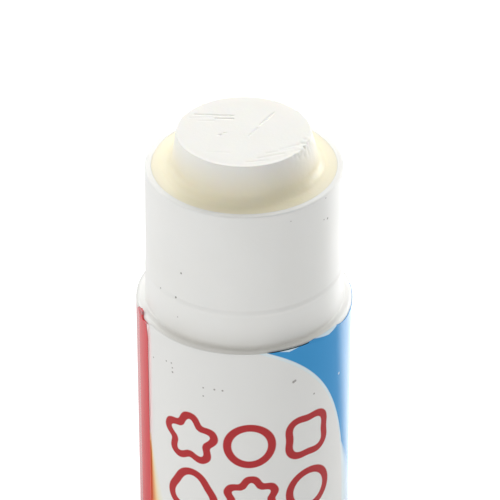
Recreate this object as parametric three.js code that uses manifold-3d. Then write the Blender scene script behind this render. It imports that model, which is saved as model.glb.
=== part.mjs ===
// Twist-up glue stick with its cap taken off and stood beside it.
// Millimetres, +Z up. The origin is the centre of the stick's base, on the surface that it stands on.
// The front, which the label's white panel faces, is -Y.

import * as THREE from "three";
import { mergeVertices } from "three/addons/utils/BufferGeometryUtils.js";
import Module from "manifold-3d";

const wasm = await Module();
wasm.setup();

// Barrel, from the bore outwards
const BORE_RADIUS = 10.35;
const NECK_WALL = 0.87;
const NECK_DRAFT = 0.06; // how much wider the neck is at its step line than at the rim
const NECK_STEP = 0.09; // the fine step low on the neck
const SHOULDER_WIDTH = 1.01;
const LIP_ROUND = 0.24;
const LIP_BEVEL = 0.18;
const SHOULDER_ROUND = 0.25;
const SHOULDER_FILLET = 0.5;
const BARREL_FOOT_BEVEL = 0.3;

// Barrel, heights
const BARREL_LENGTH = 63.2; // from its foot to the shoulder
const NECK_HEIGHT = 17.4;
const NECK_STEP_HEIGHT = 4.75; // above the shoulder
const SPIGOT_LENGTH = 3.0; // the part of the barrel that sits inside the knob
const SPIGOT_WALL = 1.2;
const BARREL_FLOOR = 1.4;
const LEDGE_HEIGHT = 0.8;

// Guide ribs in the bore, which stop the carrier and the glue from turning
const RIB_COUNT = 3;
const RIB_WIDTH = 1.2;
const RIB_DEPTH = 0.8;
const RIB_DROP = 3.0; // how far the ribs end below the rim
const FIRST_RIB_ANGLE = THREE.MathUtils.degToRad(30);

// Label: a film wrapped once round the barrel, with its outer end over its inner end
const LABEL_THICKNESS = 0.09;
const LABEL_MARGIN = 0.35; // bare barrel above and below the film
const LABEL_OVERLAP = 2.6; // measured round the barrel
const LABEL_RAMP = 1.2; // where the outer end climbs onto the inner one
const LABEL_SEAM_ANGLE = THREE.MathUtils.degToRad(209.4);

// Knob, the ribbed base that the user turns
const KNOB_HEIGHT = 10.5;
const KNOB_INSET = 0.08; // how much narrower the knob is than the barrel
const KNOB_WALL = 1.1; // behind the grip ribs
const KNOB_FLOOR = 1.4;
const KNOB_BEVEL = 0.5;
const KNOB_HUB_WALL = 1.9;
const GRIP_COUNT = 40;
const GRIP_DEPTH = 0.35;
const GRIP_VALLEY = 0.3; // share of a rib's pitch that is flat valley
const GRIP_SLOPE = 0.15; // share of it that is each sloping side
const GRIP_BAND_START = 1.5;
const GRIP_BAND_END = 1.0; // smooth bead between the ribs and the knob's top

// Spindle, a left-hand screw that the knob turns
const CORE_RADIUS = 2.3;
const THREAD_DEPTH = 1.1;
const THREAD_LEAD = 5.0;
const THREAD_ROOT = 2.2;
const THREAD_CREST = 1.0;
const THREAD_RELIEF = 0.8; // plain core above the collar
const THREAD_LEAD_IN = 1.5; // plain core below the tip
const SPINDLE_DROP = 7.4; // how far the tip ends below the rim
const TIP_BEVEL = 0.6;
const COLLAR_RADIUS = 5.5;
const COLLAR_THICKNESS = 1.2;
const JOURNAL_RADIUS = 2.9;
const KEY_SIDES = 6;
const KEY_RADIUS = 2.6; // the foot's, measured to its corners
const KEY_LENGTH = 5.2;

// Carrier, the cup that lifts the glue
const CARRIER_FLOOR = 1.2;
const CUP_HEIGHT = 8.5;
const CUP_WALL = 0.9;
const NUT_HEIGHT = 8.0;
const NUT_WALL = 1.9;
const FIN_COUNT = 3;
const FIN_WIDTH = 1.0;
const FIN_HEIGHT = 4.5;

// Glue, with the top that the cap's sealing ring moulds
const BOSS_RISE = 4.33; // above the rim
const BOSS_TOP_RADIUS = 7.65;
const BOSS_FOOT_RADIUS = 8.2;
const BOSS_EDGE_ROUND = 0.35;
const FLARE_FILLET = 1.6;
const FLARE_DROP = 0.12; // the flare's edge lies this far below the rim

// Cap
const CAP_TOP = 1.3;
const CAP_EDGE_ROUND = 1.4;
const CAP_MOUTH_BEVEL = 0.3;
const CAP_STAND_X = 34.0;
const CAP_STAND_Y = -8.0;

// Clearances
const RUNNING_GAP = 0.3; // between pieces that turn or slide on each other
const END_PLAY = 0.15;
const SEAT_GAP = 0.3; // between pieces that rest on each other
const FIXED_FIT = 0.05; // between pieces that are pressed together
const POUR_GAP = 0.1; // between the glue and the cup that it was poured into
const GLUE_GAP = 0.25; // between the glue and the bore
const FILM_GAP = 0.03; // glue line under the label
const CAP_FIT = 0.12;
const BOSS_ROOM = 0.5; // air over the boss when the cap is on

// Fineness of the round surfaces
const ROUND = 48;
const SPINDLE_ROUND = 16; // also the steps in one turn of a thread
const ARC_STEPS = 3;
const WELD = 0.3; // how far joined shapes reach into each other
const CUT = 1.0; // how far cutting shapes reach past a face

// Worked out: radii
const neckRadius = BORE_RADIUS + NECK_WALL;
const neckStepRadius = neckRadius + NECK_DRAFT;
const neckFootRadius = neckStepRadius + NECK_STEP;
const barrelRadius = neckFootRadius + SHOULDER_WIDTH;
const labelRadius = barrelRadius + FILM_GAP + LABEL_THICKNESS;
const knobRadius = barrelRadius - KNOB_INSET;
const gripRootRadius = knobRadius - GRIP_DEPTH;
const knobBoreRadius = gripRootRadius - KNOB_WALL;
const spigotRadius = knobBoreRadius - RUNNING_GAP;
const spigotBoreRadius = spigotRadius - SPIGOT_WALL;
const threadRadius = CORE_RADIUS + THREAD_DEPTH;
const nutRadius = threadRadius + RUNNING_GAP + NUT_WALL;
const carrierRadius = BORE_RADIUS - GLUE_GAP;
const cupBoreRadius = carrierRadius - CUP_WALL;
const glueRadius = BORE_RADIUS - GLUE_GAP;
const hubRadius = KEY_RADIUS + FIXED_FIT + KNOB_HUB_WALL;

// Worked out: heights
const barrelFoot = KNOB_HEIGHT + RUNNING_GAP;
const shoulderZ = barrelFoot + BARREL_LENGTH;
const rimZ = shoulderZ + NECK_HEIGHT;
const spigotFoot = barrelFoot - SPIGOT_LENGTH;
const barrelFloorTop = spigotFoot + BARREL_FLOOR;
const ledgeZ = barrelFoot + LEDGE_HEIGHT;
const hubTop = spigotFoot - END_PLAY;
const collarFoot = barrelFloorTop + END_PLAY;
const collarTop = collarFoot + COLLAR_THICKNESS;
const keyFoot = hubTop - KEY_LENGTH;
const carrierFoot = Math.max(ledgeZ, collarTop) + SEAT_GAP;
const carrierFloorTop = carrierFoot + CARRIER_FLOOR;
const cupTop = carrierFoot + CUP_HEIGHT;
const nutTop = carrierFoot + NUT_HEIGHT;
const spindleTop = rimZ - SPINDLE_DROP;
const ribTop = rimZ - RIB_DROP;
const bossTop = rimZ + BOSS_RISE;
const flareZ = rimZ - FLARE_DROP;

// Points of an arc in a profile, from one angle to another in degrees, both ends included
function arc(centreRadius, centreZ, radius, fromDegrees, toDegrees) {
  const points = [];
  for (let step = 0; step <= ARC_STEPS; step += 1) {
    const degrees = fromDegrees + ((toDegrees - fromDegrees) * step) / ARC_STEPS;
    const angle = THREE.MathUtils.degToRad(degrees);
    points.push([centreRadius + radius * Math.cos(angle), centreZ + radius * Math.sin(angle)]);
  }
  return points;
}

// A solid of revolution about Z, from points of radius and height
function turned(profile, segments = ROUND) {
  const points = profile.map(([radius, z]) => new THREE.Vector2(radius, z));
  return new THREE.LatheGeometry(points, segments).rotateX(Math.PI / 2);
}

// The same, for a ring-shaped profile that closes on itself
function turnedRing(profile) {
  return turned([...profile, profile[0]]);
}

// A box on a radius, between two radii and two heights, as wide as given
function radialBox(innerRadius, outerRadius, width, fromZ, toZ, angle) {
  const box = new THREE.BoxGeometry(outerRadius - innerRadius, width, toZ - fromZ);
  box.translate((innerRadius + outerRadius) / 2, 0, (fromZ + toZ) / 2);
  return box.rotateZ(angle);
}

// An upright prism of an outline
function upright(shape, fromZ, toZ) {
  const geometry = new THREE.ExtrudeGeometry(shape, { depth: toZ - fromZ, bevelEnabled: false });
  return geometry.translate(0, 0, fromZ);
}

// The many-sided upright prism of the spindle's foot and of its socket
function keyPrism(cornerRadius, fromZ, toZ) {
  const prism = new THREE.CylinderGeometry(cornerRadius, cornerRadius, toZ - fromZ, KEY_SIDES);
  return prism.rotateX(Math.PI / 2).translate(0, 0, (fromZ + toZ) / 2);
}

// The ridge of a left-hand thread: a four-sided section that climbs as it turns clockwise seen from above.
// Its angle follows from the height alone, so every thread of this lead is in mesh with the others, and its
// steps fall on the corners of the round core.
function threadRidge(rootRadius, crestRadius, rootWidth, crestWidth, fromZ, toZ) {
  const section = [
    [rootRadius, -rootWidth / 2],
    [crestRadius, -crestWidth / 2],
    [crestRadius, crestWidth / 2],
    [rootRadius, rootWidth / 2],
  ];
  const sides = section.length;
  const stepHeight = THREAD_LEAD / SPINDLE_ROUND;
  const firstStep = Math.ceil(fromZ / stepHeight);
  const steps = Math.floor(toZ / stepHeight) - firstStep;
  const positions = [];
  for (let step = 0; step <= steps; step += 1) {
    const z = (firstStep + step) * stepHeight;
    const angle = (-2 * Math.PI * z) / THREAD_LEAD;
    for (const [radius, offset] of section) {
      positions.push(radius * Math.cos(angle), radius * Math.sin(angle), z + offset);
    }
  }
  const faces = [];
  for (let step = 0; step < steps; step += 1) {
    for (let side = 0; side < sides; side += 1) {
      const a = step * sides + side;
      const b = step * sides + ((side + 1) % sides);
      faces.push(a, b, a + sides, b, b + sides, a + sides);
    }
  }
  const last = steps * sides;
  faces.push(0, 2, 1, 0, 3, 2);
  faces.push(last, last + 1, last + 2, last, last + 2, last + 3);
  const geometry = new THREE.BufferGeometry();
  geometry.setAttribute("position", new THREE.Float32BufferAttribute(positions, 3));
  geometry.setIndex(faces);
  return geometry;
}

// A closed mesh as a solid that can be joined and cut
function solid(geometry) {
  const bare = geometry.clone();
  bare.deleteAttribute("normal");
  bare.deleteAttribute("uv");
  const merged = mergeVertices(bare, 1e-5);
  return new wasm.Manifold(
    new wasm.Mesh({
      numProp: 3,
      vertProperties: new Float32Array(merged.attributes.position.array),
      triVerts: new Uint32Array(merged.index.array),
    }),
  );
}

// A solid as a mesh geometry again
function geometryOf(body) {
  const result = body.getMesh();
  const geometry = new THREE.BufferGeometry();
  geometry.setAttribute("position", new THREE.BufferAttribute(result.vertProperties, 3));
  geometry.setIndex(new THREE.BufferAttribute(result.triVerts, 1));
  geometry.computeVertexNormals();
  return geometry;
}

function joined(first, ...others) {
  return others.reduce((body, other) => body.add(solid(other)), first);
}

function cutBy(first, ...others) {
  return others.reduce((body, other) => body.subtract(solid(other)), first);
}

// Angles spread evenly round the axis
function spread(count, first) {
  return Array.from({ length: count }, (_, index) => first + (index * 2 * Math.PI) / count);
}

// The guide ribs, and the carrier's fins, which start half way between two ribs
const ribAngles = spread(RIB_COUNT, FIRST_RIB_ANGLE);
const finAngles = spread(FIN_COUNT, FIRST_RIB_ANGLE + Math.PI / RIB_COUNT);

// The grooves that the ribs run in, cut from the carrier and the glue
function ribGrooves(fromZ, toZ) {
  const floor = BORE_RADIUS - RIB_DEPTH - RUNNING_GAP;
  const width = RIB_WIDTH + 2 * RUNNING_GAP;
  return ribAngles.map((angle) => radialBox(floor, BORE_RADIUS + CUT, width, fromZ, toZ, angle));
}

// Barrel: one moulding with the spigot, the floor, the shoulder, the neck and the guide ribs
function makeBarrel() {
  const profile = [
    [JOURNAL_RADIUS + RUNNING_GAP, spigotFoot],
    [spigotRadius - BARREL_FOOT_BEVEL, spigotFoot],
    [spigotRadius, spigotFoot + BARREL_FOOT_BEVEL],
    [spigotRadius, barrelFoot],
    [barrelRadius - BARREL_FOOT_BEVEL, barrelFoot],
    [barrelRadius, barrelFoot + BARREL_FOOT_BEVEL],
    ...arc(barrelRadius - SHOULDER_ROUND, shoulderZ - SHOULDER_ROUND, SHOULDER_ROUND, 0, 90),
    ...arc(neckFootRadius + SHOULDER_FILLET, shoulderZ + SHOULDER_FILLET, SHOULDER_FILLET, 270, 180),
    [neckFootRadius, shoulderZ + NECK_STEP_HEIGHT - NECK_STEP],
    [neckStepRadius, shoulderZ + NECK_STEP_HEIGHT],
    ...arc(neckRadius - LIP_ROUND, rimZ - LIP_ROUND, LIP_ROUND, 0, 90),
    [BORE_RADIUS + LIP_BEVEL, rimZ],
    [BORE_RADIUS, rimZ - LIP_BEVEL],
    [BORE_RADIUS, ledgeZ],
    [spigotBoreRadius, ledgeZ],
    [spigotBoreRadius, barrelFloorTop],
    [JOURNAL_RADIUS + RUNNING_GAP, barrelFloorTop],
  ];
  const ribs = ribAngles.map((angle) =>
    radialBox(BORE_RADIUS - RIB_DEPTH, BORE_RADIUS + WELD, RIB_WIDTH, ledgeZ - WELD, ribTop, angle),
  );
  return geometryOf(joined(solid(turnedRing(profile)), ...ribs));
}

// Label: the film's section is a band that starts under its own outer end and climbs over it
function makeLabel() {
  const innerRadius = barrelRadius + FILM_GAP;
  const lift = LABEL_THICKNESS + FILM_GAP;
  const start = LABEL_SEAM_ANGLE - LABEL_OVERLAP / innerRadius;
  const end = LABEL_SEAM_ANGLE + 2 * Math.PI;
  const climbEnd = start + 2 * Math.PI - FILM_GAP / innerRadius;
  const climbStart = climbEnd - LABEL_RAMP / innerRadius;
  const pitch = (2 * Math.PI) / ROUND;
  const angles = [start];
  for (let corner = Math.ceil(start / pitch); corner * pitch < climbStart; corner += 1) {
    angles.push(corner * pitch);
  }
  angles.push(climbStart, climbEnd, (climbEnd + end) / 2, end);
  const rise = (angle) => (angle < climbEnd ? 0 : lift);
  const inner = angles.map((angle) => [innerRadius + rise(angle), angle]);
  const outer = inner.map(([radius, angle]) => [radius + LABEL_THICKNESS, angle]).reverse();
  const outline = [...inner, ...outer].map(
    ([radius, angle]) => new THREE.Vector2(radius * Math.cos(angle), radius * Math.sin(angle)),
  );
  const top = shoulderZ - LABEL_MARGIN;
  return upright(new THREE.Shape(outline), barrelFoot + LABEL_MARGIN, top);
}

// Glue: the poured stick, hollow round the spindle and keyed into the carrier, with its moulded top
function makeGlue() {
  const filletRadius = BOSS_FOOT_RADIUS + FLARE_FILLET;
  const edgeRadius = BOSS_TOP_RADIUS - BOSS_EDGE_ROUND;
  const profile = [
    [0, spindleTop + RUNNING_GAP],
    [threadRadius + RUNNING_GAP, spindleTop + RUNNING_GAP],
    [threadRadius + RUNNING_GAP, nutTop + POUR_GAP],
    [nutRadius + POUR_GAP, nutTop + POUR_GAP],
    [nutRadius + POUR_GAP, carrierFloorTop + POUR_GAP],
    [cupBoreRadius - POUR_GAP, carrierFloorTop + POUR_GAP],
    [cupBoreRadius - POUR_GAP, cupTop + POUR_GAP],
    [glueRadius, cupTop + POUR_GAP],
    [glueRadius, flareZ],
    ...arc(filletRadius, flareZ + FLARE_FILLET, FLARE_FILLET, 270, 180),
    ...arc(edgeRadius, bossTop - BOSS_EDGE_ROUND, BOSS_EDGE_ROUND, 0, 90),
    [0, bossTop],
  ];
  const finSlots = finAngles.map((angle) =>
    radialBox(
      nutRadius - WELD,
      cupBoreRadius + WELD,
      FIN_WIDTH + 2 * SEAT_GAP,
      carrierFoot,
      carrierFloorTop + FIN_HEIGHT + SEAT_GAP,
      angle,
    ),
  );
  const grooves = ribGrooves(carrierFoot, ribTop + RUNNING_GAP);
  return geometryOf(cutBy(solid(turned(profile)), ...finSlots, ...grooves));
}

// Carrier: a cup with the nut in its middle, fins that hold the glue and grooves for the guide ribs
function makeCarrier() {
  const nutBore = CORE_RADIUS + RUNNING_GAP;
  const profile = [
    [nutBore, carrierFoot],
    [carrierRadius, carrierFoot],
    [carrierRadius, cupTop],
    [cupBoreRadius, cupTop],
    [cupBoreRadius, carrierFloorTop],
    [nutRadius, carrierFloorTop],
    [nutRadius, nutTop],
    [nutBore, nutTop],
  ];
  const fins = finAngles.map((angle) =>
    radialBox(
      nutRadius - WELD,
      cupBoreRadius + WELD,
      FIN_WIDTH,
      carrierFloorTop - WELD,
      carrierFloorTop + FIN_HEIGHT,
      angle,
    ),
  );
  const groove = threadRidge(
    nutBore - WELD,
    threadRadius + RUNNING_GAP,
    THREAD_ROOT + 2 * RUNNING_GAP,
    THREAD_CREST + 2 * RUNNING_GAP,
    carrierFoot - THREAD_LEAD / 2,
    nutTop + THREAD_LEAD / 2,
  );
  const cup = joined(solid(turnedRing(profile)), ...fins);
  return geometryOf(cutBy(cup, groove, ...ribGrooves(carrierFoot - CUT, cupTop + CUT)));
}

// Spindle: the keyed foot, the journal through the barrel's floor, the collar and the threaded rod
function makeSpindle() {
  const profile = [
    [0, hubTop - FIXED_FIT],
    [JOURNAL_RADIUS, hubTop + FIXED_FIT],
    [JOURNAL_RADIUS, collarFoot],
    [COLLAR_RADIUS, collarFoot],
    [COLLAR_RADIUS, collarTop],
    [CORE_RADIUS, collarTop],
    [CORE_RADIUS, spindleTop - TIP_BEVEL],
    [CORE_RADIUS - TIP_BEVEL, spindleTop],
    [0, spindleTop],
  ];
  const key = keyPrism(KEY_RADIUS, keyFoot, collarFoot);
  const ridge = threadRidge(
    CORE_RADIUS - WELD,
    threadRadius,
    THREAD_ROOT,
    THREAD_CREST,
    collarTop + THREAD_RELIEF + THREAD_ROOT / 2,
    spindleTop - THREAD_LEAD_IN - THREAD_ROOT / 2,
  );
  return geometryOf(joined(solid(turned(profile, SPINDLE_ROUND)), key, ridge));
}

// The grip's outline: ribs with sloping sides round the knob
function gripShape() {
  const shape = new THREE.Shape();
  const pitch = (2 * Math.PI) / GRIP_COUNT;
  const corners = [
    [0, gripRootRadius],
    [GRIP_VALLEY, gripRootRadius],
    [GRIP_VALLEY + GRIP_SLOPE, knobRadius],
    [1 - GRIP_SLOPE, knobRadius],
  ];
  const outline = [];
  for (let rib = 0; rib < GRIP_COUNT; rib += 1) {
    for (const [share, radius] of corners) {
      const angle = (rib + share) * pitch;
      outline.push(new THREE.Vector2(radius * Math.cos(angle), radius * Math.sin(angle)));
    }
  }
  shape.setFromPoints(outline);
  const hole = new THREE.Path();
  hole.absarc(0, 0, gripRootRadius - WELD, 0, 2 * Math.PI, true);
  shape.holes.push(hole);
  return shape;
}

// Knob: a cup that the barrel's spigot turns in, with a keyed hub for the spindle
function makeKnob() {
  const gripTop = KNOB_HEIGHT - GRIP_BAND_END;
  const profile = [
    [0, 0],
    [knobRadius - KNOB_BEVEL, 0],
    [knobRadius, KNOB_BEVEL],
    [knobRadius, GRIP_BAND_START],
    [gripRootRadius, GRIP_BAND_START],
    [gripRootRadius, gripTop],
    [knobRadius, gripTop],
    [knobRadius, KNOB_HEIGHT - BARREL_FOOT_BEVEL],
    [knobRadius - BARREL_FOOT_BEVEL, KNOB_HEIGHT],
    [knobBoreRadius, KNOB_HEIGHT],
    [knobBoreRadius, KNOB_FLOOR],
    [hubRadius, KNOB_FLOOR],
    [hubRadius, hubTop],
    [0, hubTop],
  ];
  const grip = upright(gripShape(), GRIP_BAND_START, gripTop);
  const socket = keyPrism(KEY_RADIUS + FIXED_FIT, keyFoot - SEAT_GAP, hubTop + CUT);
  return geometryOf(cutBy(joined(solid(turned(profile)), grip), socket));
}

// Cap: slides over the neck to the shoulder, and its sealing ring fits the glue's boss and flare
function makeCap() {
  const outerRadius = labelRadius;
  const boreRadius = neckFootRadius + CAP_FIT;
  const ringRadius = glueRadius - CAP_FIT;
  const tipRound = FLARE_FILLET - SEAT_GAP;
  const tipCentre = BOSS_FOOT_RADIUS + FLARE_FILLET;
  const mouthZ = shoulderZ + SEAT_GAP;
  const underside = bossTop + BOSS_ROOM - mouthZ;
  const height = underside + CAP_TOP;
  const tipZ = flareZ + FLARE_FILLET - mouthZ;
  const profile = [
    [0, underside],
    [tipCentre - tipRound, underside],
    ...arc(tipCentre, tipZ, tipRound, 180, 270),
    [ringRadius, tipZ - tipRound],
    [ringRadius, underside],
    [boreRadius, underside],
    [boreRadius, CAP_MOUTH_BEVEL],
    [boreRadius + CAP_MOUTH_BEVEL, 0],
    [outerRadius - CAP_MOUTH_BEVEL, 0],
    [outerRadius, CAP_MOUTH_BEVEL],
    ...arc(outerRadius - CAP_EDGE_ROUND, height - CAP_EDGE_ROUND, CAP_EDGE_ROUND, 0, 90),
    [0, height],
  ];
  return turned(profile);
}

// Colours
const WHITE = "#f4f3ee";
const FILM_WHITE = "#dfe0de";
const CREAM = "#f3efdc";

const stick = new THREE.Group();

function addPiece(name, geometry, colour, roughness) {
  const material = new THREE.MeshStandardMaterial({ color: colour, roughness, metalness: 0 });
  const mesh = new THREE.Mesh(geometry, material);
  mesh.name = name;
  stick.add(mesh);
  return mesh;
}

addPiece("knob", makeKnob(), WHITE, 0.45);
addPiece("spindle", makeSpindle(), WHITE, 0.45);
addPiece("barrel", makeBarrel(), WHITE, 0.4);
addPiece("label", makeLabel(), FILM_WHITE, 0.25);
addPiece("carrier", makeCarrier(), WHITE, 0.45);
addPiece("glue", makeGlue(), CREAM, 0.5);
addPiece("cap", makeCap(), WHITE, 0.35).position.set(CAP_STAND_X, CAP_STAND_Y, 0);

export default stick;
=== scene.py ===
# %% [markdown]
# # A twist-up glue stick
# The stick stands with its cap off: a white moulded barrel, a printed film round it, a cream stick of
# glue that the cap has shaped, a ribbed knob to turn, and the cap beside it. The frame below holds the
# real sizes, so every piece here takes its place from it and only adds the fine surface.

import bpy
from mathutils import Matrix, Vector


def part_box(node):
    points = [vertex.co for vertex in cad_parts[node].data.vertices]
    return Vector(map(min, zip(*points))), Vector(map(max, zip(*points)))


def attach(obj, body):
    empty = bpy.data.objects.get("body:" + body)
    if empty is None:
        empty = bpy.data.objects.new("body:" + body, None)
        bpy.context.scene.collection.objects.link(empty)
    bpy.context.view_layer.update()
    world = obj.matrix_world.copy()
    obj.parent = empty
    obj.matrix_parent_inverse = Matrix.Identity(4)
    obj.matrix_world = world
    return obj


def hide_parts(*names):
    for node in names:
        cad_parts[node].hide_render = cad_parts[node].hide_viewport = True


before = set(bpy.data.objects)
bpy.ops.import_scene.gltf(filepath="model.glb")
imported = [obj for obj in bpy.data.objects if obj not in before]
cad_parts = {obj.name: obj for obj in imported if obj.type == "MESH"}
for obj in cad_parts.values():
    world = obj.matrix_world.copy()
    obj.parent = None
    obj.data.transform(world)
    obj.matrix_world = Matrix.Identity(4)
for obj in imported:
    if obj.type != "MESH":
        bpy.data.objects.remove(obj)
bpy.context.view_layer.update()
print("nodes", list(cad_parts))

# %% [markdown]
# ## Sizes
# Blender works in metres, but a small object is easier to think about in millimetres. The outlines
# below are written in millimetres and scaled once, when a mesh is made. What the frame already knows,
# such as the height of the rim, is read from it and isn't written again.

# %% Sizes in millimetres, read from the frame
import math

import bpy
from mathutils import Vector, noise

MM = 0.001


def span(node):
    """Lowest and highest corner of a CAD node, in millimetres."""
    low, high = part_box(node)
    return Vector(low) / MM, Vector(high) / MM


barrel_low, barrel_high = span("barrel")
label_low, label_high = span("label")
knob_high = span("knob")[1]
glue_low, glue_high = span("glue")
cap_low, cap_high = span("cap")

BARREL_RADIUS = barrel_high.x
RIM_Z = barrel_high.z
SPIGOT_FOOT = barrel_low.z
LABEL_RADIUS = label_high.x
KNOB_RADIUS = knob_high.x
KNOB_TOP = knob_high.z
BOSS_TOP = glue_high.z
CAP_RADIUS = (cap_high.x - cap_low.x) / 2
CAP_CENTRE = (cap_low + cap_high) / 2
print("rim at", round(RIM_Z, 2), "mm, label", round(2 * LABEL_RADIUS, 2), "mm across")

# %% Sizes in millimetres that the frame holds only inside its pieces
BORE_RADIUS = 10.35
NECK_RADIUS = 11.22
NECK_STEP_RADIUS = 11.28
NECK_FOOT_RADIUS = 11.37
SHOULDER_Z = 74.0
NECK_STEP_HEIGHT = 4.75
BARREL_FOOT = 10.8
SPIGOT_RADIUS = 10.55
SPIGOT_BORE = 9.35
BARREL_FLOOR = 1.4
LEDGE_Z = 11.6
JOURNAL_HOLE = 3.2
RIB_ANGLES = [math.radians(angle) for angle in (30, 150, 270)]
RIB_WIDTH = 1.2
RIB_DEPTH = 0.8
RIB_TOP = RIM_Z - 3.0
SHOULDER_ROUND = 0.42

# %% [markdown]
# ## Camera
# The photograph looks down on the neck from about 32 degrees, from far away and with a long lens: the
# ellipse of the rim is 0.55 times as high as it is wide, and the barrel narrows by only a few per cent
# down the picture. A pinhole camera fitted to the rim, the step line, the shoulder and both sides of the
# barrel gave the distance, the lens and the tilt.

# %% The camera, fitted to the photograph
PICTURE = 500
RIM_PIXEL = (243.1, 163.5)
FOCAL_PIXELS = 3550.7
RIM_DISTANCE = 400.0
RIM_ELEVATION = math.radians(32.05)
SENSOR = 36.0


def new_object(name, data):
    """A new object in the scene that holds a mesh, a camera or a lamp."""
    made = bpy.data.objects.new(name, data)
    bpy.context.scene.collection.objects.link(made)
    return made


def make_camera():
    """A camera that puts the centre of the rim on its pixel of the photograph."""
    data = bpy.data.cameras.new("photo_camera")
    data.sensor_width = SENSOR
    data.lens = FOCAL_PIXELS * SENSOR / PICTURE
    data.clip_start = 0.01
    data.clip_end = 20
    camera = new_object("photo_camera", data)
    back = Vector((0, -math.cos(RIM_ELEVATION), math.sin(RIM_ELEVATION)))
    camera.location = (Vector((0, 0, RIM_Z)) + back * RIM_DISTANCE) * MM
    drop = math.atan((PICTURE / 2 - RIM_PIXEL[1]) / FOCAL_PIXELS)
    aside = math.atan((PICTURE / 2 - RIM_PIXEL[0]) / FOCAL_PIXELS)
    camera.rotation_euler = (math.pi / 2 - RIM_ELEVATION - drop, 0, -aside)
    bpy.context.scene.camera = camera
    return camera


camera = make_camera()
print("lens", round(camera.data.lens, 1), "mm")

# %% [markdown]
# ## Colour
# Colours are written as they look on a screen. Shaders calculate with light, which is linear, so one
# function turns a hex value into linear numbers.


# %% Hex colour to linear light
def colour(text):
    """Linear red, green, blue and alpha of an sRGB hex value such as "#f2f1ec"."""
    levels = [int(text[place : place + 2], 16) / 255 for place in (1, 3, 5)]
    linear = [v / 12.92 if v <= 0.04045 else ((v + 0.055) / 1.055) ** 2.4 for v in levels]
    return (*linear, 1.0)


print("mid grey", [round(v, 3) for v in colour("#808080")])

# %% [markdown]
# ## Nodes
# A material is a small program of nodes. One helper adds a node, sets it up and links it, and gives back
# the output that the next node needs. Four shorter ones write the nodes that come up most: arithmetic, a
# value carried from one range to another, noise, and a bump. Colour is laid on in layers, as ink and dirt
# are, and each layer has a mask that says where it shows.


# %% Helpers for nodes
def add(tree, kind, inputs=(), out=0, **settings):
    """Adds a node to a tree. inputs are values or other nodes' outputs, in order or by socket name."""
    made = tree.nodes.new(kind)
    for name, value in settings.items():
        setattr(made, name, value)
    named = inputs if isinstance(inputs, dict) else dict(enumerate(inputs))
    for name, value in named.items():
        if isinstance(value, bpy.types.NodeSocket):
            tree.links.new(value, made.inputs[name])
        else:
            made.inputs[name].default_value = value
    return made.outputs[out] if len(made.outputs) else None


def new_material(name):
    """An empty material and its tree."""
    material = bpy.data.materials.new(name)
    material.use_nodes = True
    material.node_tree.nodes.clear()
    return material, material.node_tree


def per_mm(size):
    """The scale of a pattern on Object coordinates, in metres, whose features are so many mm wide."""
    return 1 / (size * MM)


def maths(tree, operation, *numbers, **settings):
    """A Math node on its numbers, in order."""
    return add(tree, "ShaderNodeMath", numbers, operation=operation, **settings)


def remap(tree, *values, **settings):
    """A Map Range node: a value, the two ends that it comes from and the two ends that it goes to."""
    return add(tree, "ShaderNodeMapRange", values, **settings)


def clouds(tree, place, size, detail):
    """Noise with features of a given size in mm."""
    return add(tree, "ShaderNodeTexNoise", {"Vector": place, "Scale": per_mm(size), "Detail": detail})


def bump(tree, height, strength, depth, **under):
    """A bump of a given depth in mm, over the surface's own Normal or another bump's."""
    inputs = {"Height": height, "Strength": strength, "Distance": depth * MM, **under}
    return add(tree, "ShaderNodeBump", inputs)


def paint(tree, ground, layers):
    """Lays colours over a ground, the last one on top. Each layer is (mask, hex value)."""
    painted = colour(ground)
    for mask, ink in layers:
        inputs = {"Factor": mask, "A": painted, "B": colour(ink)}
        painted = add(tree, "ShaderNodeMix", inputs, out=2, data_type="RGBA")
    return painted


def specks(tree, place, spots):
    """1 inside a few round specks, 0 elsewhere. Each is (x, y, z, radius), in the units of place."""
    total = 0.0
    for x, y, z, radius in spots:
        far = add(tree, "ShaderNodeVectorMath", [place, (x, y, z)], out="Value", operation="DISTANCE")
        inside = remap(tree, far, radius * 0.6, radius * 1.3, 1.0, 0.0)
        total = maths(tree, "MAXIMUM", total, inside)
    return total


# %% [markdown]
# ## White moulded polypropylene
# The barrel, the knob and the cap are injection moulded in white polypropylene. Straight from a fine
# spark-eroded mould it has a satin surface: a soft sheen, a very fine grain, and slow waves where the wall
# has shrunk. The plastic lets a little light in, which softens its shadows. Glue and fingers leave a few
# specks on it: those on the neck lie where the photograph has them. A greyer band painted in the corner at
# the front of the neck's foot is painted shade, which makes the shade there a little deeper. The grain is
# really about 0.05 mm and is drawn at 0.3 mm, because finer than that doesn't show.


# %% Polypropylene
NECK_SPECKS = [
    (-34.0, 88.1, 0.13),
    (-37.6, 88.3, 0.09),
    (-36.0, 91.0, 0.1),
    (-62.6, 90.1, 0.08),
    (-128.9, 82.4, 0.12),
    (-133.0, 78.8, 0.13),
    (-146.6, 78.7, 0.1),
    (-131.5, 76.3, 0.11),
    (-135.0, 76.1, 0.08),
]
# Painted shade in the neck's corner: heights where it fades out, and depths in y where it comes in at the
# front.
SHADE_HEIGHTS = (3.2, 0.5)
SHADE_FRONT = (-4.0, -9.0)
SPECK_CELL = 2.5
SPECK_REACH = 0.04
ROUGH_SPREAD = 0.05


def on_neck(angle, height, radius):
    """A speck on the neck, in metres, from its angle in degrees and its height and radius in mm."""
    turned = math.radians(angle)
    x = NECK_STEP_RADIUS * math.cos(turned)
    y = NECK_STEP_RADIUS * math.sin(turned)
    return (x * MM, y * MM, height * MM, radius * MM)


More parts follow.
